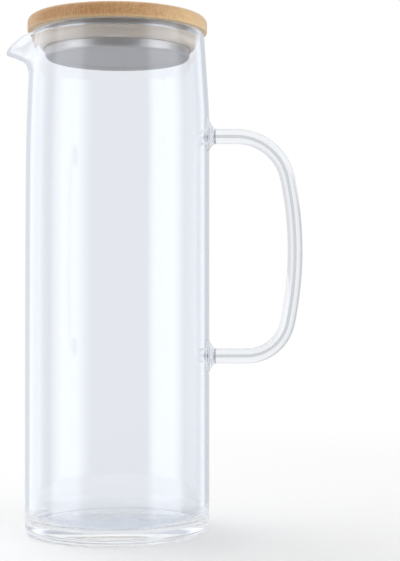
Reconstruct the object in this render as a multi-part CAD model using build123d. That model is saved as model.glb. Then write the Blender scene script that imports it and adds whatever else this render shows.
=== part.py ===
"""Glass pitcher with a push-in bamboo lid.

The frame stands on the pitcher's axis at the plane it rests on: +Z is up, the spout points along -X and
the handle along +X. Sizes are in millimetres and angles in degrees.
"""
import os
from math import cos, pi, radians, sin, tan

from build123d import *

# Glass body: a straight tube on a thicker flat foot, with a neck that tapers to the mouth
body_radius = 47.5
wall = 2.4
rim_height = 257.0
neck_height = 40.5
neck_taper = 2.7
shoulder_rounding = 150.0
base_thickness = 5.5
foot_rounding = 4.0
floor_rounding = 7.0

# Spout: pulled out of the rim, its underside leaves the neck in an arc and then rises straight to the tip
spout_reach = 12.9
spout_drop = 11.0
spout_half_angle = 24.0
spout_rise_angle = 21.5
spout_root_radius = 5.0
spout_root_steps = 5

# Handle: a solid rod with a wide upper and a tighter lower corner and a bowed grip, its ends splayed on the wall
rod_radius = 3.85
upper_run_drop = 12.6
lower_run_height = 90.2
grip_reach = 44.5
upper_corner_radius = 27.0
lower_corner_radius = 21.5
bow_half_angle = 12.0
weld_length = 5.5
upper_weld_radius = 8.9
lower_weld_radius = 7.8

# Bamboo lid: a board that rests on the rim
lid_overhang = 1.6
lid_thickness = 7.8
lid_top_rounding = 3.4
lid_bottom_rounding = 1.0
seat_gap = 0.2

# Steel cup under the lid: a drawn cup with a wider collar at its mouth
cup_gap = 5.1
cup_depth = 13.6
cup_wall = 0.8
cup_rounding = 1.6
collar_width = 2.0
collar_height = 3.0

# Silicone ring: it grips the cup under the collar, and its lip reaches out to the glass
seal_thickness = 3.5
seal_height = 5.9
seal_rounding = 2.6
seal_lip_thickness = 0.8
seal_lip_flare = 1.2
seal_fit = 0.08
seal_gap = 0.3

# Core inside the cup, and the countersunk screws that draw it up against the lid
core_fit = 0.05
screw_count = 3
screw_circle_radius = 20.0
screw_radius = 1.75
screw_head_radius = 3.4
screw_bite = 5.0
screw_point_length = 2.0
screw_fit = 0.05

# Places that several pieces share
shoulder_height = rim_height - neck_height
mouth_radius = body_radius - neck_taper
tip_height = rim_height - spout_drop
upper_run_height = shoulder_height - upper_run_drop
handle_reach = body_radius + grip_reach
lid_bottom = rim_height + seat_gap
lid_top = lid_bottom + lid_thickness
lid_radius = mouth_radius + lid_overhang
cup_radius = mouth_radius - wall - cup_gap
cup_bottom = lid_bottom - cup_depth
core_bottom = cup_bottom + cup_wall + core_fit
core_radius = cup_radius - cup_wall - core_fit


def outline(*points):
    """Face in the XZ plane inside a closed line through (radius, height) points."""
    return make_face(Plane.XZ * Polyline(*points, close=True))


def rounded(face, radius, height, rounding):
    """The face with its corner at a radius and height rounded."""
    return fillet(face.vertices().sort_by_distance((radius, 0, height))[0], rounding)


def neck_radius(height):
    """Outer radius of the tapered neck at a height above the shoulder."""
    return body_radius - neck_taper * (height - shoulder_height) / neck_height


def vessel(inset, floor, floor_corner, top):
    """Solid of foot, tube and neck, moved in by the inset, from the floor up to the top."""
    radius = body_radius - inset
    neck = neck_radius(top) - inset
    face = outline((0, floor), (radius, floor), (radius, shoulder_height), (neck, top), (0, top))
    face = rounded(face, radius, floor, floor_corner)
    face = rounded(face, radius, shoulder_height, shoulder_rounding)
    return revolve(face, Axis.Z)


def neck_section(height, bulge, inset):
    """Level outline of the neck: a round back, and a nose that stands out by the bulge on the spout's side.

    The nose is two curves whose handles are those of a circle's arc, so that a bulge of nothing is round.
    """
    radius = neck_radius(height) - inset
    side = radians(spout_half_angle)
    handle = radius * tan(side / 4) * 4 / 3
    nose = Vector(-radius - bulge, 0, height)
    back = [Vector(-radius * cos(angle), radius * sin(angle), height) for angle in (side, pi, -side)]
    edges = [ThreePointArc(*back)]
    for hand, foot in ((1, back[0]), (-1, back[2])):
        along = Vector(-sin(side), -hand * cos(side), 0)
        edges.append(Bezier(foot, foot + along * handle, nose + Vector(0, hand * handle, 0), nose))
    return make_face(edges)


def spout_levels(top, inset):
    """Heights and bulges of the spout's underside: the root arc, then a straight rise to the top.

    With an inset it is also raised, so that the straight rise keeps the inset as its thickness.
    """
    slope = radians(spout_rise_angle)
    rise = tan(slope)
    start = tip_height + inset * (1 - sin(slope)) / cos(slope)
    tip_bulge = mouth_radius + spout_reach - neck_radius(tip_height)
    turn = pi / 2 - slope
    straight = tip_bulge - spout_root_radius * (1 - cos(turn))
    root = start - straight * rise - spout_root_radius * sin(turn)
    turns = [turn * step / spout_root_steps for step in range(spout_root_steps + 1)]
    arc = [(root + spout_root_radius * sin(angle), spout_root_radius * (1 - cos(angle))) for angle in turns]
    return arc + [(top, tip_bulge + (top - start) / rise)]


def filled_glass(inset, floor, floor_corner, top):
    """The body as if it were solid, moved in by the inset: the vessel, and on it the neck with its spout."""
    levels = spout_levels(top, inset)
    neck = loft([neck_section(height, bulge, inset) for height, bulge in levels], ruled=True)
    return vessel(inset, floor, floor_corner, levels[0][0]) + neck


def above_rim():
    """The space over the mouth: level above the rim, and falling from the rim to the tip over the spout."""
    overhang = 6 * spout_reach
    fall = overhang * spout_drop / spout_reach
    far = -mouth_radius - overhang
    ceiling = rim_height + overhang
    face = outline(
        (body_radius, rim_height),
        (-mouth_radius, rim_height),
        (far, rim_height - fall),
        (far, ceiling),
        (body_radius, ceiling),
    )
    return extrude(face, body_radius, both=True)


def glass_body():
    """Tube, neck and spout of one wall thickness over a thicker foot."""
    outside = filled_glass(0, 0, foot_rounding, rim_height + wall)
    inside = filled_glass(wall, base_thickness, floor_rounding, rim_height + 2 * wall)
    return outside - inside - above_rim()


def splayed_end(height, weld_radius):
    """Trumpet that a rod's end melts into on the wall, round the axis of its run."""
    neck = body_radius + weld_length
    rim = (body_radius, height + weld_radius)
    throat = (neck, height + rod_radius)
    edges = [
        Polyline(throat, (neck, height), (0, height), (0, height + weld_radius), rim),
        TangentArc(throat, rim, tangent=(-1, 0)),
    ]
    run_axis = Axis((0, 0, height), (1, 0, 0))
    return revolve(make_face([Plane.XZ * edge for edge in edges]), run_axis)


def glass_handle():
    """Bent rod with both ends splayed against the tube."""
    turn = 90 - bow_half_angle
    bow = radians(bow_half_angle)
    drop = upper_run_height - lower_run_height
    corner_drop = (upper_corner_radius + lower_corner_radius) * (1 - sin(bow))
    bow_radius = (drop - corner_drop) / (2 * sin(bow))
    corner_start = handle_reach - bow_radius * (1 - cos(bow)) - upper_corner_radius * cos(bow)
    neck = body_radius + weld_length
    upper_run = Line((neck, upper_run_height), (corner_start, upper_run_height))
    upper_corner = JernArc(upper_run @ 1, upper_run % 1, upper_corner_radius, -turn)
    grip = JernArc(upper_corner @ 1, upper_corner % 1, bow_radius, -2 * bow_half_angle)
    lower_corner = JernArc(grip @ 1, grip % 1, lower_corner_radius, -turn)
    lower_run = Line(lower_corner @ 1, (neck, lower_run_height))
    path = Plane.XZ * Wire([upper_run, upper_corner, grip, lower_corner, lower_run])
    section = Plane(origin=path @ 0, z_dir=path % 0) * Circle(rod_radius)
    rod = sweep(section, path)
    ends = splayed_end(upper_run_height, upper_weld_radius) + splayed_end(lower_run_height, lower_weld_radius)
    tube = Pos(0, 0, rim_height / 2) * Cylinder(body_radius, rim_height)
    return rod + (ends - tube)


def screw_shapes(growth):
    """The lid's screws, or with a growth the holes they sit in: flat heads below, points up in the lid."""
    head = core_bottom - growth
    head_radius = screw_head_radius + 2 * growth
    shank_radius = screw_radius + growth
    shank = head + head_radius - shank_radius
    point = lid_bottom + screw_bite + growth
    taper = point - screw_point_length
    face = outline((0, head), (head_radius, head), (shank_radius, shank), (shank_radius, taper), (0, point))
    return PolarLocations(screw_circle_radius, screw_count) * revolve(face, Axis.Z)


def bamboo_lid():
    """Round board with a softened top edge and pilot holes in its underside."""
    face = outline((0, lid_bottom), (lid_radius, lid_bottom), (lid_radius, lid_top), (0, lid_top))
    face = rounded(face, lid_radius, lid_top, lid_top_rounding)
    face = rounded(face, lid_radius, lid_bottom, lid_bottom_rounding)
    return revolve(face, Axis.Z) - screw_shapes(screw_fit)


def plug_core():
    """Spigot between the lid and the cup's floor, with countersunk holes."""
    face = outline((0, core_bottom), (core_radius, core_bottom), (core_radius, lid_bottom), (0, lid_bottom))
    face = rounded(face, core_radius, core_bottom, cup_rounding)
    return revolve(face, Axis.Z) - screw_shapes(screw_fit)


def cup_outline(inset, top):
    """Half outline of the cup and its collar, moved in by the inset."""
    step = lid_bottom - collar_height + inset
    radius = cup_radius - inset
    collar = cup_radius + collar_width - inset
    floor = cup_bottom + inset
    face = outline((0, floor), (radius, floor), (radius, step), (collar, step), (collar, top), (0, top))
    return rounded(face, radius, floor, cup_rounding - inset)


def steel_plug_cup():
    """Drawn cup, one sheet thick all over, open against the lid's underside."""
    outside = revolve(cup_outline(0, lid_bottom), Axis.Z)
    inside = revolve(cup_outline(cup_wall, lid_bottom + cup_wall), Axis.Z)
    return outside - inside


def silicone_seal_ring():
    """Ring under the collar with a rounded lower edge and a thin lip round its top."""
    bore = cup_radius + seal_fit
    seal_radius = cup_radius + seal_thickness
    top = lid_bottom - collar_height - seal_fit
    bottom = top - seal_height
    lip_radius = mouth_radius - wall - seal_gap
    lip_under = top - seal_lip_thickness
    face = outline(
        (bore, bottom),
        (seal_radius, bottom),
        (seal_radius, lip_under - seal_lip_flare),
        (lip_radius, lip_under),
        (lip_radius, top),
        (bore, top),
    )
    return revolve(rounded(face, seal_radius, bottom, seal_rounding), Axis.Z)


pieces = {
    "glass_body": glass_body(),
    "glass_handle": glass_handle(),
    "bamboo_lid": bamboo_lid(),
    "plug_core": plug_core(),
    "lid_screws": Compound(children=screw_shapes(0)),
    "steel_plug_cup": steel_plug_cup(),
    "silicone_seal_ring": silicone_seal_ring(),
}

os.makedirs("parts", exist_ok=True)
for name, piece in pieces.items():
    export_step(piece, f"parts/{name}.step")
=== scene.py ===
"""Glass pitcher with a bamboo lid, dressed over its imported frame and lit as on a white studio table."""
import math

import bpy
import numpy as np
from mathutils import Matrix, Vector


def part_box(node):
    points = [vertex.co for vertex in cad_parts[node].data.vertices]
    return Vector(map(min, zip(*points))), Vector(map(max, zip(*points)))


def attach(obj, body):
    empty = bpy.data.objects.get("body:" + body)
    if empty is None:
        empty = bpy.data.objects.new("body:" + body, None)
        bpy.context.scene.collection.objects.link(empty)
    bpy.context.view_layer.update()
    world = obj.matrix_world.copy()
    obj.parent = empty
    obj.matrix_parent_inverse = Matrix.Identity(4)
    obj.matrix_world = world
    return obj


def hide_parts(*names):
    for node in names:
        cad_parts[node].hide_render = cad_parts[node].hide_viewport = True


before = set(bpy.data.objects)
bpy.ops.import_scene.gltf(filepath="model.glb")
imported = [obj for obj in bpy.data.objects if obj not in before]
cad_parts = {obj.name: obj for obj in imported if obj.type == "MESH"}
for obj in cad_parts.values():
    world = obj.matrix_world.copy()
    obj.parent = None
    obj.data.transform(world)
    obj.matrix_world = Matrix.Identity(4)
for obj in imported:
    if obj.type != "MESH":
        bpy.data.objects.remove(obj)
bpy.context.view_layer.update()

# Glass jug. A blown borosilicate tube with a thick foot, a neck that tapers a little and a spout pulled out
# of the hot rim. The handle is a bent solid rod whose ends are splayed on the wall and melted into it, so
# body and handle share one skin.
mm = 0.001
glass_low, glass_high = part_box("glass_body")
tube_radius = glass_high.x
rim_top = glass_high.z
wall = 2.4 * mm
neck_height = 40.5 * mm
neck_taper = 2.7 * mm
shoulder_softness = 4.0 * mm
spout_side_neck_height = 50.0 * mm
spout_side_softness = 26.0 * mm
foot_rounding = 4.0 * mm
push_up_radius = 37.0 * mm
push_up = 1.0 * mm
floor_height = 5.5 * mm
floor_rounding = 7.0 * mm
floor_crown = 0.6 * mm

spout_reach = -glass_low.x
spout_half_angle = math.radians(28)
spout_root = rim_top - 23.0 * mm
spout_root_rise = 9.0 * mm
spout_root_lean = 1.0 * mm
spout_lip_radius = spout_reach - 0.9 * mm
spout_lip_height = rim_top - 11.4 * mm
spout_lip_run = 9.4 * mm
spout_lip_climb = 3.4 * mm
spout_soft_start = 0.2
rim_edge = rim_top - wall / 2
rim_dip = 1.9 * mm
rim_dip_half_angle = math.radians(85)

handle_low, handle_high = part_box("glass_handle")
rod_radius = 3.85 * mm
upper_weld_radius = handle_high.y
upper_run = handle_high.z - upper_weld_radius
upper_weld_lift = 1.15 * mm
frame_lower_weld_radius = 7.8 * mm
lower_weld_radius = 9.0 * mm
lower_run = handle_low.z + frame_lower_weld_radius
grip_reach = handle_high.x - rod_radius
upper_corner_radius = 27.0 * mm
lower_corner_radius = 21.5 * mm
bow_half_angle = math.radians(12)
weld_length = 3.4 * mm
weld_hollowness = 1.3
rod_start = tube_radius + weld_length + 1.5 * mm

# sizes of the painted shade: a grey bowl in each weld and a grey line along the rod
weld_shade_radius = 3.4 * mm
weld_shade_place = tube_radius + 1.2 * mm
weld_shade_depth = 2.0 * mm
weld_shade_thickness = 0.3 * mm
shade_line_radius = 0.55 * mm
shade_line_start = weld_shade_place + 0.5 * mm


def neck_radius(height, turn=0.0):
    """Outer radius at a height and turn: the tube's, less a straight taper that sets in softly.

    On the spout's side, where the glass was reheated, the taper sets in lower and more softly. A cosine of
    the turn shares between the two.
    """
    reheated = (1 - np.cos(turn)) / 2
    length = neck_height + reheated * (spout_side_neck_height - neck_height)
    softness = shoulder_softness + reheated * (spout_side_softness - shoulder_softness)
    above = height - (rim_top - length)
    return tube_radius - neck_taper / length * (above + np.sqrt(above**2 + softness**2)) / 2


def wall_point(turn, height):
    """Point of the jug's outer skin at a turn about the axis and a height up the unpulled wall.

    Towards the spout a point slides from the plain wall to a cubic curve that leaves the wall nearly upright
    and runs out to the lip. The slide sets in by a smooth step up the spout's height. Across its width the
    share is a squared cosine outwards and a cubed one downwards, so its sides stand higher than its lip.
    Beside the spout the rim also sinks a little, as the square of the height and a squared cosine of the
    turn.
    """
    aside = np.abs(turn - math.pi)
    climb = np.clip((height - spout_root) / (rim_edge - spout_root), 0, 1)
    radius = neck_radius(height, turn)
    root_radius = neck_radius(spout_root, math.pi)
    curve = np.array([
        [root_radius, spout_root],
        [root_radius + spout_root_lean, spout_root + spout_root_rise],
        [spout_lip_radius - spout_lip_run, spout_lip_height - spout_lip_climb],
        [spout_lip_radius, spout_lip_height],
    ])
    share = np.stack([(1 - climb)**3, 3 * climb * (1 - climb)**2, 3 * climb**2 * (1 - climb), climb**3], -1)
    pulled = share @ curve
    within = np.where(aside < spout_half_angle, np.cos(aside / spout_half_angle * math.pi / 2), 0)
    begun = np.clip(climb / spout_soft_start, 0, 1)
    begun = begun**3 * (begun * (begun * 6 - 15) + 10)
    outwards, downwards = begun * within**2, begun * within**3
    sink = np.where(aside < rim_dip_half_angle, np.cos(aside / rim_dip_half_angle * math.pi / 2)**2, 0)
    level = height + downwards * (pulled[..., 1] - height) - (1 - downwards) * sink * rim_dip * climb**2
    radius = radius + outwards * (pulled[..., 0] - radius)
    return np.stack([radius * np.cos(turn), radius * np.sin(turn), level], -1)


def unit(vectors):
    """The vectors at length one."""
    return vectors / np.linalg.norm(vectors, axis=-1, keepdims=True)


def wall_frame(turn, height):
    """Outward normal and upward tangent of the skin, from small steps along the turn and the height."""
    turn_step = 1e-5
    height_step = 0.0002 * mm
    around = wall_point(turn + turn_step, height) - wall_point(turn - turn_step, height)
    upward = wall_point(turn, height + height_step) - wall_point(turn, height - height_step)
    return unit(np.cross(around, upward)), unit(upward)


def lathe(radii, heights, turn):
    """Rings of points: each radius and height of a profile, carried round the axis by the turn."""
    radii, heights = np.asarray(radii)[:, None], np.asarray(heights)[:, None]
    return np.stack(np.broadcast_arrays(radii * np.cos(turn), radii * np.sin(turn), heights), -1)


def numbered(rings, first):
    """Table of point numbers for rings of points, counted on from a first one."""
    return first + np.arange(rings[..., 0].size).reshape(rings.shape[:2])


def closed(index):
    """A table of point numbers with its first column repeated at the end."""
    return np.concatenate([index, index[:, :1]], 1)


def quads(index):
    """Four-sided faces between neighbouring rows and columns of a table of point numbers."""
    corners = index[:-1, :-1], index[:-1, 1:], index[1:, 1:], index[1:, :-1]
    return np.stack(corners, -1)


def fan(pole, ring):
    """Three-sided faces from a pole to each side of a closed ring, whose order sets which way they face."""
    return np.stack([np.full(len(ring) - 1, pole), ring[1:], ring[:-1]], -1)


def end_fans(poles, index):
    """The fans from two poles that shut the first and the last ring of a closed table."""
    return np.concatenate([fan(poles[0], index[0]), fan(poles[1], index[-1, ::-1])])


columns = 192
turn = np.arange(columns) * 2 * math.pi / columns
spout_rows = 34

# each weld grows out of a square window in the wall, this many columns to either side of the rod
window = 7
beside = np.arange(-window, window + 1)
window_height = window * 2 * math.pi * tube_radius / columns
lower_window = np.linspace(lower_run - window_height, lower_run + window_height, 2 * window + 1)
upper_window = np.linspace(upper_run - window_height, upper_run + window_height, 2 * window + 1)
outer_bands = [
    np.linspace(foot_rounding, lower_window[0], 16)[:-1],
    lower_window,
    np.linspace(lower_window[-1], upper_window[0], 18)[1:-1],
    upper_window,
    np.linspace(upper_window[-1], spout_root, 8)[1:-1],
    np.linspace(spout_root, rim_edge, spout_rows),
]
outer_heights = np.concatenate(outer_bands)
inner_heights = np.concatenate([
    np.linspace(rim_edge, spout_root, spout_rows),
    np.linspace(spout_root, floor_height + floor_rounding, 60)[1:],
])

quarter = np.linspace(0, math.pi / 2, 13)
from_axis = np.linspace(0.04, 1, 14)
hollow = from_axis * push_up_radius
standing = np.linspace(push_up_radius, tube_radius - foot_rounding, 5)[1:-1]
foot_radii = np.concatenate([
    hollow,
    standing,
    tube_radius - foot_rounding + foot_rounding * np.sin(quarter[:-1]),
])
foot_heights = np.concatenate([
    push_up * (1 - (hollow / push_up_radius)**2)**2,
    0 * standing,
    foot_rounding * (1 - np.cos(quarter[:-1])),
])
inner_flat = tube_radius - wall - floor_rounding
inward = from_axis[-2::-1] * inner_flat
floor_radii = np.concatenate([inner_flat + floor_rounding * np.cos(quarter[1:]), inward])
floor_heights = np.concatenate([
    floor_height + floor_rounding * (1 - np.sin(quarter[1:])),
    floor_height + floor_crown * (1 - (inward / inner_flat)**2)**2,
])

outer = wall_point(turn[None, :], outer_heights[:, None])
normal, _ = wall_frame(turn[None, :], inner_heights[:, None])
inner = wall_point(turn[None, :], inner_heights[:, None]) - wall * normal
just_below_edge = rim_edge - 0.05 * mm
rim_normal, rim_up = wall_frame(turn, np.full(columns, just_below_edge))
round_over = np.linspace(0, math.pi, 13)[1:-1, None, None]
rim = outer[-1] + wall / 2 * ((np.cos(round_over) - 1) * rim_normal + np.sin(round_over) * rim_up)

skin = np.concatenate([
    lathe(foot_radii, foot_heights, turn),
    outer,
    rim,
    inner,
    lathe(floor_radii, floor_heights, turn),
])
numbers = numbered(skin, 0)
band_ends = len(foot_radii) + np.cumsum([len(band) for band in outer_bands])
lower_row, upper_row = band_ends[0], band_ends[2]
cells = np.ones((skin.shape[0] - 1, columns), bool)
for row in (lower_row, upper_row):
    cells[row:row + 2 * window, beside[:-1]] = False


def weld_loop(first_row, flip):
    """Numbers of the points round a weld's window, from one corner on, upside down for a flip of -1."""
    rows = first_row + (np.arange(2 * window + 1) if flip > 0 else np.arange(2 * window, -1, -1))
    table = numbers[np.ix_(rows, beside)]
    return np.concatenate([table[0, :-1], table[:-1, -1], table[-1, :0:-1], table[:0:-1, 0]])


loop_turn = np.arange(8 * window) * 2 * math.pi / (8 * window) - 0.75 * math.pi
circle = np.stack([np.cos(loop_turn), np.sin(loop_turn)], -1)


def weld_rings(loop, run, flip, weld_radius, lift):
    """Rings from the window in to the rod: over the wall to a circle, then up a hollow flare.

    Along the flare the ring shrinks by a power of the sine of an angle and rises by one less that of its
    cosine. The circle's middle stands above the rod's by the lift and comes back to it as the ring shrinks.
    """
    edge = skin.reshape(-1, 3)[loop]
    start = np.stack([edge[:, 1], flip * (edge[:, 2] - run)], -1)
    inwards = np.linspace(0, 1, 5)[1:, None, None]
    middle = np.array([0, flip * lift])
    flat = (1 - inwards) * start + inwards * (weld_radius * circle + middle)
    flare = np.linspace(0, math.pi / 2, 15)[1:, None, None]
    shrunk = np.sin(flare)**weld_hollowness
    flared = (weld_radius - (weld_radius - rod_radius) * shrunk) * circle + (1 - shrunk) * middle
    across = np.concatenate([flat, flared])
    risen = 1 - np.abs(np.cos(flare.ravel()))**weld_hollowness
    rise = np.concatenate([np.zeros(len(flat)), weld_length * risen])[:, None]
    level = run + flip * across[..., 1]
    return np.stack([np.sqrt(neck_radius(level)**2 - across[..., 0]**2) + rise, across[..., 0], level], -1)


def rod_rings(section, start):
    """Rings along the handle's centre line: two runs, a wide and a tighter corner, and a bow between them.

    The heading turns from straight out to straight back. Each ring is a section set across that heading.
    """
    bow_rise, bow_sweep = math.sin(bow_half_angle), math.cos(bow_half_angle)
    corner_drop = (upper_corner_radius + lower_corner_radius) * (1 - bow_rise)
    bow_radius = (upper_run - lower_run - corner_drop) / (2 * bow_rise)
    bow_middle = lower_run + lower_corner_radius * (1 - bow_rise) + bow_radius * bow_rise
    bow_end = grip_reach - bow_radius * (1 - bow_sweep)
    upper_corner = bow_end - upper_corner_radius * bow_sweep
    lower_corner = bow_end - lower_corner_radius * bow_sweep
    run_out = np.linspace(start, upper_corner, 8)[:-1]
    run_back = np.linspace(lower_corner, start, 8)[1:]
    corner_turn = np.linspace(0, math.pi / 2 - bow_half_angle, 26)
    bow_turn = np.linspace(math.pi / 2 - bow_half_angle, math.pi / 2 + bow_half_angle, 46)[1:-1]
    back_turn = math.pi - corner_turn[::-1]
    straight_back = 0 * run_back + math.pi
    heading = np.concatenate([0 * run_out, corner_turn, bow_turn, back_turn, straight_back])[:, None]
    x = np.concatenate([
        run_out,
        upper_corner + upper_corner_radius * np.sin(corner_turn),
        grip_reach - bow_radius * (1 - np.sin(bow_turn)),
        lower_corner + lower_corner_radius * np.sin(back_turn),
        run_back,
    ])[:, None]
    z = np.concatenate([
        0 * run_out + upper_run,
        upper_run - upper_corner_radius * (1 - np.cos(corner_turn)),
        bow_middle + bow_radius * np.cos(bow_turn),
        lower_run + lower_corner_radius * (1 + np.cos(back_turn)),
        0 * run_back + lower_run,
    ])[:, None]
    outwards = section[:, 1]
    sideways = np.broadcast_to(section[:, 0], (len(x), len(section)))
    return np.stack([x + np.sin(heading) * outwards, sideways, z + np.cos(heading) * outwards], -1)


def weld_shade_rings(run, flip):
    """Rings of a weld's thin bowl of painted shade: out over its back, in over its hollow, parabolas in
    section.
    """
    reach = np.linspace(shade_line_radius, weld_shade_radius, 8)
    sag = weld_shade_place + weld_shade_depth * (reach / weld_shade_radius)**2
    radii = np.concatenate([reach, reach[::-1]])[:, None]
    x = np.concatenate([sag - weld_shade_thickness, sag[::-1]])[:, None]
    across = radii[..., None] * circle[::2]
    return np.stack([x + 0 * across[..., 0], across[..., 0], run + flip * across[..., 1]], -1)


upper_loop = weld_loop(upper_row, 1)
lower_loop = weld_loop(lower_row, -1)
rings = np.concatenate([
    weld_rings(upper_loop, upper_run, 1, upper_weld_radius, upper_weld_lift),
    rod_rings(rod_radius * circle, rod_start),
    weld_rings(lower_loop, lower_run, -1, lower_weld_radius, 0.0)[::-1],
])
ring_numbers = numbered(rings, numbers.size)
strip = np.concatenate([upper_loop[None], ring_numbers, lower_loop[None]])

# painted shade: a thin grey line along the rod's middle stands for the dark streak that the rod shows there,
# and a small grey bowl in each weld stands for the dark arc in it
shade_line = np.concatenate([
    weld_shade_rings(upper_run, 1),
    rod_rings(shade_line_radius * circle[::2], shade_line_start),
    weld_shade_rings(lower_run, -1)[::-1],
])
shade_line_numbers = numbered(shade_line, numbers.size + ring_numbers.size)
poles = shade_line_numbers[-1, -1] + 1 + np.arange(4)
pole_points = np.array([
    [0, 0, push_up],
    [0, 0, floor_height + floor_crown],
    shade_line[0].mean(0),
    shade_line[-1].mean(0),
])

points = np.concatenate([skin.reshape(-1, 3), rings.reshape(-1, 3), shade_line.reshape(-1, 3), pole_points])
skin_sides = np.concatenate([quads(closed(numbers))[cells], quads(closed(strip)).reshape(-1, 4)])
skin_fans = end_fans(poles[:2], closed(numbers))
shade_line_sides = quads(closed(shade_line_numbers)).reshape(-1, 4)
shade_line_fans = end_fans(poles[2:], closed(shade_line_numbers))


def new_piece(name, points, *faces):
    """A smooth-shaded mesh object in the frame, of the points that the tables of faces use."""
    used, renumbered = np.unique(np.concatenate([table.ravel() for table in faces]), return_inverse=True)
    splits = np.cumsum([table.size for table in faces])[:-1]
    tables = [part.reshape(table.shape) for part, table in zip(np.split(renumbered, splits), faces)]
    mesh = bpy.data.meshes.new(name)
    mesh.from_pydata(points[used].tolist(), [], [face for table in tables for face in table.tolist()])
    mesh.polygons.foreach_set("use_smooth", np.ones(len(mesh.polygons), bool))
    mesh.update()
    piece = bpy.data.objects.new(name, mesh)
    bpy.context.scene.collection.objects.link(piece)
    return piece


def linear(code):
    """An sRGB hex colour as linear light with full alpha."""
    shares = np.array([int(code[i:i + 2], 16) for i in (1, 3, 5)]) / 255
    light = np.where(shares <= 0.04045, shares / 12.92, ((shares + 0.055) / 1.055)**2.4)
    return (*light.tolist(), 1.0)


def add_node(tree, kind, sockets, **settings):
    """Adds a node with its settings. A socket takes a value, an output, or a node, by its first output."""
    node = tree.nodes.new(kind)
    for name, value in settings.items():
        setattr(node, name, value)
    for name, value in sockets.items():
        source = value.outputs[0] if isinstance(value, bpy.types.Node) else value
        if isinstance(source, bpy.types.NodeSocket):
            tree.links.new(source, node.inputs[name])
        else:
            node.inputs[name].default_value = source
    return node


def new_material(name):
    """An empty node material and its tree."""
    material = bpy.data.materials.new(name)
    material.use_nodes = True
    material.node_tree.nodes.clear()
    return material, material.node_tree


def clear_borosilicate():
    """Clear, fire-polished glass with a trace of blue: it shows mostly by what its edges mirror."""
    material, tree = new_material("clear_borosilicate_glass")
    surface = add_node(tree, "ShaderNodeBsdfPrincipled", {
        "Base Color": linear("#F6F8FB"),
        "Roughness": 0.0,
        "IOR": 1.473,
        "Transmission Weight": 1.0,
    })
    add_node(tree, "ShaderNodeOutputMaterial", {"Surface": surface})
    return material


def painted_shade_glass():
    """Painted shade, as a line in the rod's middle and a bowl in each weld: it bends no light, and only
    takes some of it away.
    """
    material, tree = new_material("painted_shade_line_glass")
    surface = add_node(tree, "ShaderNodeBsdfPrincipled", {
        "Base Color": linear("#DCDEDF"),
        "Roughness": 0.0,
        "IOR": 1.0,
        "Transmission Weight": 1.0,
    })
    add_node(tree, "ShaderNodeOutputMaterial", {"Surface": surface})
    return material


jug = new_piece("pitcher_glass", points, skin_sides, skin_fans, shade_line_sides, shade_line_fans)
jug.data.materials.append(clear_borosilicate())
# the second material is the painted shade of the grey line and bowls
jug.data.materials.append(painted_shade_glass())
in_shade_line = np.arange(len(jug.data.polygons)) >= len(skin_sides) + len(skin_fans)
jug.data.polygons.foreach_set("material_index", in_shade_line.astype(np.int32))
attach(jug, "pitcher")
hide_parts("glass_body", "glass_handle")

# Steel plug cup. Drawn from thin stainless sheet with a wider collar at its mouth, whose edge is turned out
# flat under the lid. It is satin-finished while it spins, so the fine lines run round it, and pressed on the
# core.
cup_low, cup_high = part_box("steel_plug_cup")
sheet = 0.8 * mm
collar_radius = cup_high.x
collar_width = 2.0 * mm
collar_height = 3.0 * mm
collar_corner = 0.2 * mm
collar_flare = 0.3 * mm
collar_foot = collar_radius - collar_flare
collar_bottom = cup_high.z - collar_height
cup_radius = collar_radius - collar_width
cup_corner = 1.6 * mm
flange_radius = collar_radius + 2.6 * mm
flange_thickness = 0.4 * mm
flange_bottom = cup_high.z - flange_thickness
pressed_radius = 27.0 * mm
pressed_slope = 1.5 * mm
pressed_floor = cup_low.z + 0.5 * mm
axis_gap = 0.5 * mm
past_arc = 0.3 * mm


def arc(centre_radius, centre_height, size, begin, end, steps=8):
    """Profile points on an arc in degrees, from straight out at 0 to straight up at 90."""
    angle = np.radians(np.linspace(begin, end, steps))
    return np.stack([centre_radius + size * np.cos(angle), centre_height + size * np.sin(angle)], -1)


def straight(*corners, spacing=1.5 * mm):
    """Profile points along straight runs between corners, evenly spaced, the last corner left out."""
    corners = np.array(corners)
    parts = []
    for begin, end in zip(corners[:-1], corners[1:]):
        count = max(2, int(np.linalg.norm(end - begin) / spacing) + 1)
        parts.append(begin + np.linspace(0, 1, count)[:-1, None] * (end - begin))
    return np.concatenate(parts)


def turned(name, profile, columns=160, closed_ring=False):
    """A turned piece: a profile of radii and heights carried round the axis, shut there or on itself."""
    skin = lathe(profile[:, 0], profile[:, 1], np.arange(columns) * 2 * math.pi / columns)
    index = closed(numbered(skin, 0))
    points = skin.reshape(-1, 3)
    if closed_ring:
        return new_piece(name, points, quads(np.concatenate([index, index[:1]])).reshape(-1, 4))
    fans = end_fans(len(points) + np.arange(2), index)
    ends = np.array([[0, 0, profile[0, 1]], [0, 0, profile[-1, 1]]])
    return new_piece(name, np.concatenate([points, ends]), quads(index).reshape(-1, 4), fans)


cup_profile = np.concatenate([
    straight(
        (axis_gap, pressed_floor),
        (pressed_radius, pressed_floor),
        (pressed_radius + pressed_slope, cup_low.z),
        (cup_radius - cup_corner, cup_low.z),
    ),
    arc(cup_radius - cup_corner, cup_low.z + cup_corner, cup_corner, -90, 0),
    straight((cup_radius, cup_low.z + cup_corner + past_arc), (cup_radius, collar_bottom - collar_corner)),
    arc(cup_radius + collar_corner, collar_bottom - collar_corner, collar_corner, 180, 90),
    arc(collar_foot - collar_corner, collar_bottom + collar_corner, collar_corner, -90, -6),
    straight(
        (collar_foot, collar_bottom + collar_corner),
        (collar_radius, flange_bottom),
        (flange_radius, flange_bottom),
        (flange_radius, cup_high.z),
        (collar_radius - sheet, cup_high.z),
        (collar_foot - sheet, collar_bottom + sheet),
        (cup_radius - sheet, collar_bottom + sheet),
        (cup_radius - sheet, cup_low.z + cup_corner),
        (cup_radius - cup_corner, pressed_floor + sheet),
        (axis_gap, pressed_floor + sheet),
    ),
])


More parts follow.
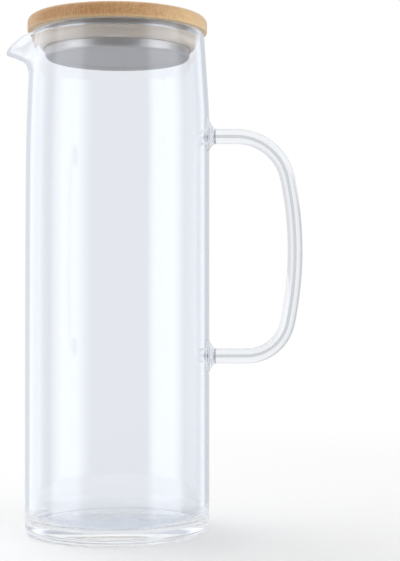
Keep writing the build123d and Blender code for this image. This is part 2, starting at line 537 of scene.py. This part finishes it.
def spun_satin_steel():
    """Stainless steel rubbed while it spins: broad soft reflections, drawn out across fine round lines."""
    material, tree = new_material("spun_satin_stainless_steel")
    place = add_node(tree, "ShaderNodeTexCoord", {}).outputs["Object"]
    x, y, height = add_node(tree, "ShaderNodeSeparateXYZ", {0: place}).outputs
    level = add_node(tree, "ShaderNodeCombineXYZ", {0: x, 1: y})
    radius = add_node(tree, "ShaderNodeVectorMath", {0: level}, operation="LENGTH").outputs["Value"]
    across = add_node(tree, "ShaderNodeCombineXYZ", {0: radius, 1: height})
    # rubbed lines are near 0.1 mm apart; drawn at 0.5 mm so that they show
    line_spacing = 0.5 * mm
    lines = add_node(tree, "ShaderNodeTexNoise", {
        "Vector": across, "Scale": 1 / line_spacing, "Detail": 3.0,
    })
    satin = add_node(tree, "ShaderNodeMapRange", {"Value": lines, "To Min": 0.36, "To Max": 0.5})
    # the collar keeps the smoother skin of the drawn sheet, and its paler, cooler colour is painted light
    # that lifts it out of the shade under the lid
    collar = add_node(tree, "ShaderNodeMath", {0: height, 1: collar_bottom}, operation="GREATER_THAN")
    # a mix has its share in socket 0, its two numbers in 2 and 3, and its two colours in 6 and 7
    dull = add_node(tree, "ShaderNodeMix", {0: collar, 2: satin, 3: 0.3})
    rubbed = add_node(tree, "ShaderNodeMix", {0: lines, 6: linear("#CAC5BF"), 7: linear("#E0DAD3")},
                      data_type="RGBA").outputs[2]
    # painted light: the collar takes a paler, cooler colour than the rubbed steel
    shade = add_node(tree, "ShaderNodeMix", {0: collar, 6: rubbed, 7: linear("#E6E7EA")},
                     data_type="RGBA").outputs[2]
    relief = add_node(tree, "ShaderNodeBump", {"Height": lines, "Strength": 0.12, "Distance": 0.05 * mm})
    surface = add_node(tree, "ShaderNodeBsdfPrincipled", {
        "Base Color": shade,
        "Metallic": 1.0,
        "Roughness": dull,
        "Normal": relief,
    })
    add_node(tree, "ShaderNodeOutputMaterial", {"Surface": surface})
    return material


cup = turned("plug_cup", cup_profile)
cup.data.materials.append(spun_satin_steel())
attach(cup, "lid")
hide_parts("steel_plug_cup")

# Silicone seal ring. Moulded in one piece and stretched over the cup under its collar. Its lower edge is
# rounded, and a thin lip round its top bends against the glass.
seal_low, seal_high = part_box("silicone_seal_ring")
lip_radius = seal_high.x
seal_fit = 0.08 * mm
seal_thickness = 3.5 * mm
seal_bore = cup_radius + seal_fit
seal_radius = cup_radius + seal_thickness
seal_rounding = 2.6 * mm
lip_thickness = 0.8 * mm
lip_flare = 1.2 * mm
lip_under = seal_high.z - lip_thickness
lip_edge = lip_radius - lip_thickness / 2
side_begin = seal_low.z + seal_rounding + 0.2 * mm
seal_profile = np.concatenate([
    straight((seal_bore, seal_high.z), (seal_bore, seal_low.z), (seal_radius - seal_rounding, seal_low.z)),
    arc(seal_radius - seal_rounding, seal_low.z + seal_rounding, seal_rounding, -90, 0, 10),
    straight((seal_radius, side_begin), (seal_radius, lip_under - lip_flare), (lip_edge, lip_under)),
    arc(lip_edge, lip_under + lip_thickness / 2, lip_thickness / 2, -80, 90, 7),
    straight((lip_edge - past_arc, seal_high.z), (seal_bore, seal_high.z)),
])


def moulded_silicone():
    """Soft milky silicone: light sinks in and scatters, and the skin has only a weak, wide sheen."""
    material, tree = new_material("moulded_milky_silicone")
    place = add_node(tree, "ShaderNodeTexCoord", {}).outputs["Object"]
    cloud_size, skin_grain = 9 * mm, 0.6 * mm
    cloud = add_node(tree, "ShaderNodeTexNoise", {"Vector": place, "Scale": 1 / cloud_size, "Detail": 3.0})
    shade = add_node(tree, "ShaderNodeMix", {0: cloud, 6: linear("#E6D8C8"), 7: linear("#F2E6D8")},
                     data_type="RGBA").outputs[2]
    skin = add_node(tree, "ShaderNodeTexNoise", {"Vector": place, "Scale": 1 / skin_grain, "Detail": 2.0})
    relief = add_node(tree, "ShaderNodeBump", {"Height": skin, "Strength": 0.1, "Distance": 0.05 * mm})
    surface = add_node(tree, "ShaderNodeBsdfPrincipled", {
        "Base Color": shade,
        "Roughness": 0.45,
        "IOR": 1.41,
        "Subsurface Weight": 0.3,
        "Subsurface Radius": (1.0, 0.85, 0.7),
        "Subsurface Scale": 1.5 * mm,
        "Normal": relief,
    })
    add_node(tree, "ShaderNodeOutputMaterial", {"Surface": surface})
    return material


seal = turned("seal_ring", seal_profile, closed_ring=True)
seal.data.materials.append(moulded_silicone())
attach(seal, "seal")
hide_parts("silicone_seal_ring")

# Plug core and lid screws. The spigot inside the cup is moulded plastic, drawn up against the lid by three
# countersunk steel screws. Both are shut in by the cup and keep the shapes of the frame.


def moulded_plastic():
    """Natural polypropylene from the mould: an even, slightly waxy off-white with a fine grain."""
    material, tree = new_material("moulded_polypropylene")
    place = add_node(tree, "ShaderNodeTexCoord", {}).outputs["Object"]
    grain_size = 0.8 * mm
    grain = add_node(tree, "ShaderNodeTexNoise", {"Vector": place, "Scale": 1 / grain_size, "Detail": 2.0})
    shade = add_node(tree, "ShaderNodeMix", {0: grain, 6: linear("#E2E0DA"), 7: linear("#EEECE6")},
                     data_type="RGBA").outputs[2]
    surface = add_node(tree, "ShaderNodeBsdfPrincipled", {
        "Base Color": shade,
        "Roughness": 0.5,
        "IOR": 1.49,
    })
    add_node(tree, "ShaderNodeOutputMaterial", {"Surface": surface})
    return material


def zinc_plated_steel():
    """Zinc-plated screw steel: a cool grey metal with a slightly uneven plated skin."""
    material, tree = new_material("zinc_plated_steel")
    place = add_node(tree, "ShaderNodeTexCoord", {}).outputs["Object"]
    bloom_size = 1.2 * mm
    bloom = add_node(tree, "ShaderNodeTexNoise", {"Vector": place, "Scale": 1 / bloom_size, "Detail": 3.0})
    dull = add_node(tree, "ShaderNodeMapRange", {"Value": bloom, "To Min": 0.25, "To Max": 0.75})
    surface = add_node(tree, "ShaderNodeBsdfPrincipled", {
        "Base Color": linear("#B9BCC0"),
        "Metallic": 1.0,
        "Roughness": dull,
    })
    add_node(tree, "ShaderNodeOutputMaterial", {"Surface": surface})
    return material


for node, material in (("plug_core", moulded_plastic()), ("lid_screws", zinc_plated_steel())):
    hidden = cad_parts[node]
    hidden.data.materials.clear()
    hidden.data.materials.append(material)

# Bamboo lid. A board glued up from upright bamboo strips, sawn round and sanded, with a well-rounded top
# edge. The strips run from front to back, a little askew, so the front shows their cut ends and the flanks
# their length. It rests on the rim.
lid_low, lid_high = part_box("bamboo_lid")
board_radius = lid_high.x
top_rounding = 3.4 * mm
bottom_rounding = 0.8 * mm
top_flat = board_radius - top_rounding
bottom_flat = board_radius - bottom_rounding
side_bottom = lid_low.z + bottom_rounding
side_top = lid_high.z - top_rounding
top_begin = top_flat - 0.5 * mm
board_profile = np.concatenate([
    straight((axis_gap, lid_low.z), (bottom_flat, lid_low.z)),
    arc(bottom_flat, side_bottom, bottom_rounding, -90, 0),
    straight((board_radius, side_bottom + past_arc), (board_radius, side_top)),
    arc(top_flat, side_top, top_rounding, 0, 90, 12),
    straight((top_begin, lid_high.z), (axis_gap, lid_high.z)),
])

strip_width = 7.0 * mm
fibre_turn = math.radians(21)
bundle_spacing = 0.9 * mm
bundle_length = 45.0 * mm
layer_spacing = 0.6 * mm
layer_length = 60.0 * mm
layer_height = 6.0 * mm
edge_begin = board_radius - 2.0 * mm
edge_full = board_radius - 0.6 * mm
lower_edge_light_top = lid_low.z + 1.6 * mm
underside = lid_low.z + 0.1 * mm
rim_highlight_fade = board_radius - 2.2 * mm
rim_highlight_full = board_radius - 2.8 * mm


def laminated_bamboo():
    """Sanded, oiled bamboo: tan strips that differ a little, with darker fibre bundles along each strip.

    The bundles are dots where the round edge cuts across them, and fine lines where it runs along them. Cut
    ends also soak up more oil, and there the darkening is also painted shade for the dimly lit front, so the
    edge is darkest where the fibres point straight out of it.
    """
    material, tree = new_material("laminated_oiled_bamboo")
    place = add_node(tree, "ShaderNodeTexCoord", {}).outputs["Object"]
    along_fibres = add_node(tree, "ShaderNodeMapping", {"Vector": place, "Rotation": (0, 0, fibre_turn)})
    x, y, height = add_node(tree, "ShaderNodeSeparateXYZ", {0: along_fibres}).outputs
    lane = add_node(tree, "ShaderNodeMath", {0: x, 1: 1 / strip_width}, operation="MULTIPLY")
    strip = add_node(tree, "ShaderNodeMath", {0: lane}, operation="FLOOR")
    tone = add_node(tree, "ShaderNodeTexWhiteNoise", {"W": strip}, noise_dimensions="1D")
    strip_shade = add_node(tree, "ShaderNodeMix", {0: tone, 6: linear("#E2B782"), 7: linear("#EDC997")},
                           data_type="RGBA").outputs[2]

    # where the edge cuts the fibres: near the round edge, by how far round it is from lying along them
    along = add_node(tree, "ShaderNodeMath", {0: y}, operation="ABSOLUTE")
    level = add_node(tree, "ShaderNodeCombineXYZ", {0: x, 1: y})
    radius = add_node(tree, "ShaderNodeVectorMath", {0: level}, operation="LENGTH").outputs["Value"]
    facing = add_node(tree, "ShaderNodeMapRange", {
        "Value": along, "From Min": 0.25 * board_radius, "From Max": board_radius,
    })
    edge = add_node(tree, "ShaderNodeMapRange", {
        "Value": radius, "From Min": edge_begin, "From Max": edge_full,
    })
    cut = add_node(tree, "ShaderNodeMath", {0: facing, 1: edge}, operation="MULTIPLY")
    # partly oil in the cut ends, partly painted shade: the front, where the cut ends face out, is darker
    soaked_and_shaded = add_node(tree, "ShaderNodeMix", {0: cut, 6: strip_shade, 7: linear("#BC8C58")},
                      data_type="RGBA").outputs[2]

    # bundles are about 0.4 mm thick and 1 mm apart; the paler tissue between them stands in upright layers
    bundles = add_node(tree, "ShaderNodeMapping", {
        "Vector": along_fibres, "Scale": (1 / bundle_spacing, 1 / bundle_length, 1 / bundle_spacing),
    })
    dots = add_node(tree, "ShaderNodeTexNoise", {"Vector": bundles, "Scale": 1.0, "Detail": 2.0})
    layers = add_node(tree, "ShaderNodeMapping", {
        "Vector": along_fibres, "Scale": (1 / layer_spacing, 1 / layer_length, 1 / layer_height),
    })
    lines = add_node(tree, "ShaderNodeTexNoise", {"Vector": layers, "Scale": 1.0, "Detail": 3.0})
    dark = add_node(tree, "ShaderNodeMapRange", {
        "Value": dots, "From Min": 0.5, "From Max": 0.62, "To Max": 0.5,
    })
    clear = add_node(tree, "ShaderNodeMapRange", {"Value": cut, "To Min": 0.2})
    dotting = add_node(tree, "ShaderNodeMath", {0: dark, 1: clear}, operation="MULTIPLY")
    dotted = add_node(tree, "ShaderNodeMix", {0: dotting, 6: soaked_and_shaded, 7: linear("#8C5A2C")},
                      data_type="RGBA").outputs[2]
    pale = add_node(tree, "ShaderNodeMapRange", {
        "Value": lines, "From Min": 0.48, "From Max": 0.64, "To Max": 0.3,
    })
    lined = add_node(tree, "ShaderNodeMix", {0: pale, 6: dotted, 7: linear("#DDBB90")},
                     data_type="RGBA").outputs[2]

    # painted light: the lower edge is a little paler, for the light the table throws up on it, and the
    # underside inside the jug's rim is near white, a painted highlight for the bright line of the glass rim
    # painted light on the lower edge, strongest at the underside
    lower_edge_light = add_node(tree, "ShaderNodeMapRange", {
        "Value": height, "From Min": lower_edge_light_top, "From Max": underside, "To Max": 0.35,
    })
    lower = add_node(tree, "ShaderNodeMix", {0: lower_edge_light, 6: lined, 7: linear("#EDD6AE")},
                     data_type="RGBA").outputs[2]
    # painted highlight: the underside inside the rim is near white
    below = add_node(tree, "ShaderNodeMath", {0: height, 1: underside}, operation="LESS_THAN")
    inside = add_node(tree, "ShaderNodeMapRange", {
        "Value": radius, "From Min": rim_highlight_fade, "From Max": rim_highlight_full,
    })
    rim_highlight = add_node(tree, "ShaderNodeMath", {0: below, 1: inside}, operation="MULTIPLY")
    shade = add_node(tree, "ShaderNodeMix", {0: rim_highlight, 6: lower, 7: linear("#F8EEDD")},
                     data_type="RGBA").outputs[2]
    relief = add_node(tree, "ShaderNodeBump", {"Height": dots, "Strength": 0.2, "Distance": 0.1 * mm})
    surface = add_node(tree, "ShaderNodeBsdfPrincipled", {
        "Base Color": shade,
        "Roughness": 0.5,
        "Coat Weight": 0.25,
        "Coat Roughness": 0.25,
        "Normal": relief,
    })
    add_node(tree, "ShaderNodeOutputMaterial", {"Surface": surface})
    return material


board = turned("lid_board", board_profile)
board.data.materials.append(laminated_bamboo())
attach(board, "lid")
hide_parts("bamboo_lid")

# Studio. A white table top that runs out of sight under a white surround, a wide overhead softbox and a tall
# one on each side. What the glass mirrors is drawn in the surround, as upright panels.
table_half = 3.0
corners = table_half * np.array([[-1, -1, 0], [1, -1, 0], [1, 1, 0], [-1, 1, 0]])
table_top = new_piece("table_top", corners, np.array([[0, 1, 2, 3]]))
fading = 0.22, 0.60
mirrored_fading = 0.075, 0.12
foot_shade = 6.0 * mm
surround_light = 0.58


def seen_rays(tree):
    """One for what the camera sees, straight or by way of metal and glass, and the light path's outputs.

    It is nought for a ray that lights a surface.
    """
    path = add_node(tree, "ShaderNodeLightPath", {}).outputs
    mirrored = add_node(tree, "ShaderNodeMath", {0: path["Is Glossy Ray"], 1: path["Is Transmission Ray"]},
                        operation="MAXIMUM")
    seen = add_node(tree, "ShaderNodeMath", {0: path["Is Camera Ray"], 1: mirrored}, operation="MAXIMUM")
    return seen, path


def bearing_of(tree, place):
    """The bearing of a place or direction, nought to the front and more to the right, and its height."""
    x, y, height = add_node(tree, "ShaderNodeSeparateXYZ", {0: place}).outputs
    forward = add_node(tree, "ShaderNodeMath", {0: y, 1: -1.0}, operation="MULTIPLY")
    return add_node(tree, "ShaderNodeMath", {0: x, 1: forward}, operation="ARCTAN2"), height


def light_through_glass(tree, path, bearing):
    """Whether a ray lights a matt surface through the glass, and the light it brings: more from both sides.

    The softboxes' own light stops at the glass, so the surround stands in for them there.
    """
    matt = add_node(tree, "ShaderNodeMath", {0: path["Diffuse Depth"], 1: 0.5}, operation="GREATER_THAN")
    through = add_node(tree, "ShaderNodeMath", {0: path["Is Transmission Ray"], 1: matt},
                       operation="MULTIPLY")
    aside = add_node(tree, "ShaderNodeMath", {0: bearing}, operation="ABSOLUTE")
    light = add_node(tree, "ShaderNodeMapRange", {
        "Value": aside,
        "From Min": math.radians(30),
        "From Max": math.radians(75),
        "To Min": 0.5,
        "To Max": 2.9,
    }, interpolation_type="SMOOTHSTEP")
    return through, light


def white_table():
    """Matt white table top that takes a soft shadow near the jug, glows as painted light under the foot, and
    fades into the white surround.
    """
    material, tree = new_material("matt_white_table")
    place = add_node(tree, "ShaderNodeTexCoord", {}).outputs["Object"]
    away = add_node(tree, "ShaderNodeVectorMath", {0: place}, operation="LENGTH").outputs["Value"]
    bearing, _ = bearing_of(tree, place)
    seen, path = seen_rays(tree)
    through, side_light = light_through_glass(tree, path, bearing)
    once = add_node(tree, "ShaderNodeMath", {0: path["Glossy Depth"], 1: 0.5}, operation="GREATER_THAN")
    faded = add_node(tree, "ShaderNodeMapRange", {
        "Value": away, "From Min": fading[0], "From Max": fading[1],
    }, interpolation_type="SMOOTHSTEP")
    faded_in_mirrors = add_node(tree, "ShaderNodeMapRange", {
        "Value": away, "From Min": mirrored_fading[0], "From Max": mirrored_fading[1],
    }, interpolation_type="SMOOTHSTEP")
    far_in_mirrors = add_node(tree, "ShaderNodeMath", {0: once, 1: faded_in_mirrors}, operation="MULTIPLY")
    far = add_node(tree, "ShaderNodeMath", {0: faded, 1: far_in_mirrors}, operation="MAXIMUM")
    matt = add_node(tree, "ShaderNodeBsdfDiffuse", {"Color": linear("#F6F6F6")})
    # the foot hides the table under it, which is seen only through the glass; a stronger glow there is
    # painted light that lifts its shadow, so it shows as white as the rest
    under = add_node(tree, "ShaderNodeMapRange", {
        "Value": away,
        "From Min": tube_radius,
        "From Max": tube_radius - foot_shade,
        "To Min": 0.11,
        "To Max": 0.28,
    }, interpolation_type="SMOOTHSTEP")
    glow = add_node(tree, "ShaderNodeMath", {0: seen, 1: under}, operation="MULTIPLY")
    lift = add_node(tree, "ShaderNodeEmission", {"Strength": glow})
    near = add_node(tree, "ShaderNodeAddShader", {0: matt, 1: lift})
    bright = add_node(tree, "ShaderNodeMix", {0: through, 2: 1.0, 3: side_light})
    white = add_node(tree, "ShaderNodeEmission", {"Strength": bright})
    gone = add_node(tree, "ShaderNodeBsdfTransparent", {})
    beyond = add_node(tree, "ShaderNodeMixShader", {0: once, 1: white, 2: gone})
    surface = add_node(tree, "ShaderNodeMixShader", {0: far, 1: near, 2: beyond})
    add_node(tree, "ShaderNodeOutputMaterial", {"Surface": surface})
    return material


table_top.data.materials.append(white_table())


def white_studio():
    """White all round, for what is seen. Mirrored, it has a dim front and a tall soft panel on each side."""
    world = bpy.data.worlds.new("white_studio")
    world.use_nodes = True
    tree = world.node_tree
    tree.nodes.clear()
    heading = add_node(tree, "ShaderNodeTexCoord", {}).outputs["Generated"]
    bearing, upward = bearing_of(tree, heading)

    def band(rise, fall, height):
        """A soft band of the bearing: it rises to a height from one bearing to the next, and falls so."""
        up = add_node(tree, "ShaderNodeMapRange", {
            "Value": bearing,
            "From Min": math.radians(rise[0]),
            "From Max": math.radians(rise[1]),
            "To Max": height,
        }, interpolation_type="SMOOTHSTEP")
        down = add_node(tree, "ShaderNodeMapRange", {
            "Value": bearing, "From Min": math.radians(fall[1]), "From Max": math.radians(fall[0]),
        }, interpolation_type="SMOOTHSTEP")
        return add_node(tree, "ShaderNodeMath", {0: up, 1: down}, operation="MULTIPLY")

    # behind the jug: a wide grey on each side with a brighter strip in it
    right_strip = band((122, 138), (138, 152), 0.7)
    left_strip = band((-84, -118), (-130, -146), 0.9)
    strips = add_node(tree, "ShaderNodeMath", {0: right_strip, 1: left_strip}, operation="ADD")
    right = add_node(tree, "ShaderNodeMapRange", {
        "Value": bearing,
        "From Min": math.radians(100),
        "From Max": math.radians(150),
        "To Min": 0.36,
        "To Max": 0.65,
    }, interpolation_type="SMOOTHSTEP")
    left = add_node(tree, "ShaderNodeMapRange", {
        "Value": bearing, "From Min": math.radians(-100), "From Max": math.radians(-150), "To Max": 0.42,
    }, interpolation_type="SMOOTHSTEP")
    greys = add_node(tree, "ShaderNodeMath", {0: right, 1: left}, operation="ADD")
    back = add_node(tree, "ShaderNodeMath", {0: greys, 1: strips}, operation="ADD")

    # beside it: the two panels, which end below the ceiling, and a white ceiling
    right_panel = band((38, 52), (84, 98), 1.6)
    left_panel = band((-36, -50), (-78, -93), 1.6)
    panels = add_node(tree, "ShaderNodeMath", {0: right_panel, 1: left_panel}, operation="ADD")
    low = add_node(tree, "ShaderNodeMapRange", {
        "Value": upward, "From Min": 0.75, "From Max": 0.5,
    }, interpolation_type="SMOOTHSTEP")
    low_panels = add_node(tree, "ShaderNodeMath", {0: panels, 1: low}, operation="MULTIPLY")
    lit = add_node(tree, "ShaderNodeMath", {0: back, 1: low_panels}, operation="ADD")
    ceiling = add_node(tree, "ShaderNodeMapRange", {
        "Value": upward, "From Min": 0.55, "From Max": 0.8,
    }, interpolation_type="SMOOTHSTEP")
    mirrored = add_node(tree, "ShaderNodeMath", {0: lit, 1: ceiling}, operation="MAXIMUM")

    # seen through one thickness of glass: white with shallow waves, a little deeper on the left
    quadrupled = add_node(tree, "ShaderNodeMath", {0: bearing, 1: 4.0}, operation="MULTIPLY")
    waves = add_node(tree, "ShaderNodeMath", {0: quadrupled}, operation="COSINE")
    depth = add_node(tree, "ShaderNodeMapRange", {
        "Value": bearing,
        "From Min": math.radians(-30),
        "From Max": math.radians(30),
        "To Min": 0.17,
        "To Max": 0.11,
    }, interpolation_type="SMOOTHSTEP")
    trough = add_node(tree, "ShaderNodeMath", {0: waves, 1: 1.0}, operation="SUBTRACT")
    dip = add_node(tree, "ShaderNodeMath", {0: depth, 1: trough}, operation="MULTIPLY")
    bent = add_node(tree, "ShaderNodeMath", {0: dip, 1: 1.0}, operation="ADD")

    # which of these a ray shows: mirrorings and crossings are counted, and told apart between whole numbers
    seen, path = seen_rays(tree)
    mirrorings = path["Glossy Depth"]
    thin = add_node(tree, "ShaderNodeMath", {0: path["Transmission Depth"], 1: 2.5}, operation="LESS_THAN")
    bending = add_node(tree, "ShaderNodeMath", {0: path["Is Transmission Ray"], 1: thin},
                       operation="MULTIPLY")
    direct = add_node(tree, "ShaderNodeMix", {0: bending, 2: 1.0, 3: bent})
    any_mirror = add_node(tree, "ShaderNodeMath", {0: mirrorings, 1: 0.5}, operation="GREATER_THAN")
    under_two = add_node(tree, "ShaderNodeMath", {0: mirrorings, 1: 1.5}, operation="LESS_THAN")
    one_mirror = add_node(tree, "ShaderNodeMath", {0: any_mirror, 1: under_two}, operation="MULTIPLY")
    many_mirrors = add_node(tree, "ShaderNodeMath", {0: mirrorings, 1: 1.5}, operation="GREATER_THAN")
    white = add_node(tree, "ShaderNodeMath", {0: direct, 1: many_mirrors}, operation="MAXIMUM")
    shown = add_node(tree, "ShaderNodeMix", {0: one_mirror, 2: white, 3: mirrored})
    through, side_light = light_through_glass(tree, path, bearing)
    shown_or_lighting = add_node(tree, "ShaderNodeMix", {0: through, 2: shown, 3: side_light})
    level = add_node(tree, "ShaderNodeMix", {0: seen, 2: surround_light, 3: shown_or_lighting})
    cool = add_node(tree, "ShaderNodeMix", {0: one_mirror, 6: linear("#FFFFFF"), 7: linear("#F3F7FF")},
                    data_type="RGBA").outputs[2]
    surround = add_node(tree, "ShaderNodeBackground", {"Color": cool, "Strength": level})
    add_node(tree, "ShaderNodeOutputWorld", {"Surface": surround})
    return world


bpy.context.scene.world = white_studio()


def softbox(name, place, aim, size, power):
    """A lamp of a width and height at a place, turned to an aim. Glass and metal don't show it."""
    lamp = bpy.data.lights.new(name, "AREA")
    lamp.shape = "RECTANGLE"
    lamp.size, lamp.size_y = size
    lamp.energy = power
    stand = bpy.data.objects.new(name, lamp)
    bpy.context.scene.collection.objects.link(stand)
    stand.location = place
    facing = np.array(aim) - np.array(place)
    bearing = math.atan2(facing[1], facing[0])
    tilt = math.atan2(facing[2], math.hypot(facing[0], facing[1]))
    stand.rotation_euler = (math.pi / 2 + tilt, 0, bearing - math.pi / 2)
    stand.visible_glossy = False
    stand.visible_transmission = False


softbox("overhead_softbox", place=(-0.45, 0.5, 1.15), aim=(0, 0, 0.1), size=(1.1, 0.9), power=6.0)
softbox("right_softbox", place=(0.95, -0.45, 0.55), aim=(0, 0, 0.2), size=(0.6, 0.9), power=2.1)
softbox("left_softbox", place=(-0.8, -0.2, 1.1), aim=(0, 0, 0.2), size=(0.6, 0.9), power=1.3)

# light that is caught in the glass is followed to its end
bounces = 1024
bpy.context.scene.cycles.max_bounces = bounces
bpy.context.scene.cycles.transmission_bounces = bounces
bpy.context.scene.cycles.glossy_bounces = bounces

# Camera. A long lens a little below the jug's middle and to the right of its axis, level but for half a
# degree upwards. Its focal length is given in pixels of the image.
image_width = 400
focal_pixels = 1348.2
upward_tilt = 0.0084
view = bpy.data.cameras.new("photograph_view")
view.sensor_fit = "HORIZONTAL"
view.lens = focal_pixels / image_width * view.sensor_width
camera = bpy.data.objects.new("photograph_view", view)
bpy.context.scene.collection.objects.link(camera)
camera.location = (42.72 * mm, -698.2 * mm, 123.4 * mm)
camera.rotation_euler = (math.pi / 2 + upward_tilt, 0, 0)
bpy.context.scene.camera = camera
bpy.context.scene.view_settings.view_transform = "Standard"
